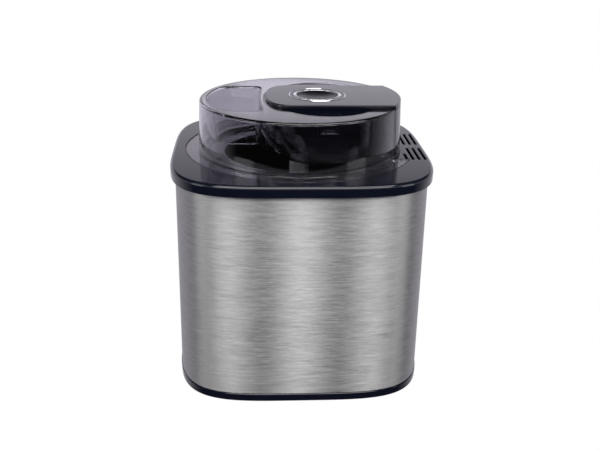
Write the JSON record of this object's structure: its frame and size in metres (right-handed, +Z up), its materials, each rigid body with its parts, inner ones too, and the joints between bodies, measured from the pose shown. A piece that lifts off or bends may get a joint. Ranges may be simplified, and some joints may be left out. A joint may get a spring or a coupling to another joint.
{
  "type": "ice cream maker",
  "caption": "Countertop ice cream maker: square steel-clad body, lift-out cooling bowl and paddle, clear lid with a filling chute and a detachable motor unit on top.",
  "frame": {"origin": "centre of the body on the surface its feet stand on", "axes": "+Z up, +X towards the end of the motor unit with the air vents, -Y the front"},
  "size_m": [0.23, 0.23, 0.2518],
  "materials": {
    "gloss_black": "high gloss",
    "brushed_steel": "fine horizontal brushing",
    "clear_plastic": "clear, lightly smoked",
    "chrome": "polished",
    "matte_black": "matte",
    "grey_plastic": "satin",
    "white_plastic": "satin",
    "aluminium": "spun, satin",
    "coolant": "gel",
    "rubber": "matte",
    "steel": "bright zinc",
    "brass": "machined",
    "circuit_board": "satin",
    "gear_plastic": "natural acetal"
  },
  "bodies": {
    "base": {"base_tray": "gloss_black", "foot_1": "rubber", "foot_2": "rubber", "foot_3": "rubber", "foot_4": "rubber", "base_screw_1": "steel", "base_screw_2": "steel", "base_screw_3": "steel", "base_screw_4": "steel", "steel_sleeve": "brushed_steel", "top_bezel": "gloss_black", "bezel_screw_1": "steel", "bezel_screw_2": "steel", "bezel_screw_3": "steel", "bezel_screw_4": "steel", "inner_well": "grey_plastic", "power_board": "circuit_board", "transformer": "steel", "contact_socket": "matte_black", "cord_gland": "rubber"},
    "bowl": {"bowl_inner_shell": "aluminium", "bowl_outer_shell": "grey_plastic", "coolant_gel": "coolant", "bowl_rim": "gloss_black"},
    "paddle": {"paddle": "white_plastic"},
    "lid": {"lid_shell": "clear_plastic"},
    "motor_unit": {"motor_housing": "gloss_black", "motor_top_cover": "gloss_black", "button_light_ring": "chrome", "button_trim_ring": "chrome", "gear_plate": "grey_plastic", "motor_can": "steel", "stage_1_axle": "steel", "stage_2_axle": "steel", "output_bush": "brass", "shaft_seal": "rubber", "contact_plug": "brass", "power_switch": "matte_black", "control_board": "circuit_board", "cover_screw_1": "steel", "cover_screw_2": "steel", "cover_screw_3": "steel", "cover_screw_4": "steel", "button_spring": "steel", "latch_spring_front": "steel", "latch_spring_rear": "steel"},
    "power_button": {"power_button": "gloss_black"},
    "latch_front": {"release_latch_front": "gloss_black"},
    "latch_rear": {"release_latch_rear": "gloss_black"},
    "rotor": {"motor_rotor": "steel", "motor_pinion": "brass"},
    "stage_1": {"stage_1_gear": "gear_plastic"},
    "stage_2": {"stage_2_gear": "gear_plastic"},
    "output": {"output_gear": "gear_plastic", "output_shaft": "steel"}
  },
  "joints": [
    {"name": "bowl_lift", "type": "slide", "parent": "base", "child": "bowl", "axis": [0, 0, 1], "range_m": [0, 0.17]},
    {"name": "lid_lift", "type": "slide", "parent": "bowl", "child": "lid", "axis": [0, 0, 1], "range_m": [0, 0.12]},
    {"name": "motor_unit_lift", "type": "slide", "parent": "lid", "child": "motor_unit", "axis": [0, 0, 1], "range_m": [0, 0.07]},
    {"name": "power_button_press", "type": "slide", "parent": "motor_unit", "child": "power_button", "axis": [0, 0, -1], "range_m": [0, 0.0025], "stiffness_N_per_m": 600, "springref_m": -0.002, "deforming": ["button_spring"]},
    {"name": "latch_front_press", "type": "slide", "parent": "motor_unit", "child": "latch_front", "axis": [0, 1, 0], "range_m": [0, 0.003], "stiffness_N_per_m": 500, "springref_m": -0.001, "deforming": ["latch_spring_front"]},
    {"name": "latch_rear_press", "type": "slide", "parent": "motor_unit", "child": "latch_rear", "axis": [0, -1, 0], "range_m": [0, 0.003], "stiffness_N_per_m": 500, "springref_m": -0.001, "deforming": ["latch_spring_rear"]},
    {"name": "paddle_spin", "type": "hinge", "parent": "bowl", "child": "paddle", "pos_m": [0, 0, 0.0518], "axis": [0, 0, 1], "continuous": true},
    {"name": "output_spin", "type": "hinge", "parent": "motor_unit", "child": "output", "pos_m": [0, 0, 0.2123], "axis": [0, 0, 1], "continuous": true},
    {"name": "stage_2_spin", "type": "hinge", "parent": "motor_unit", "child": "stage_2", "pos_m": [0.02652, 0.0111, 0.2123], "axis": [0, 0, 1], "continuous": true},
    {"name": "stage_1_spin", "type": "hinge", "parent": "motor_unit", "child": "stage_1", "pos_m": [0.04004, -0.01141, 0.2123], "axis": [0, 0, 1], "continuous": true},
    {"name": "rotor_spin", "type": "hinge", "parent": "motor_unit", "child": "rotor", "pos_m": [0.06225, 0.00258, 0.2123], "axis": [0, 0, 1], "continuous": true}
  ],
  "couplings": [
    {"joint": "output_spin", "follows": "paddle_spin", "ratio": 1},
    {"joint": "stage_2_spin", "follows": "paddle_spin", "ratio": -2.8333},
    {"joint": "stage_1_spin", "follows": "paddle_spin", "ratio": 9.0667},
    {"joint": "rotor_spin", "follows": "paddle_spin", "ratio": -29.013}
  ]
}
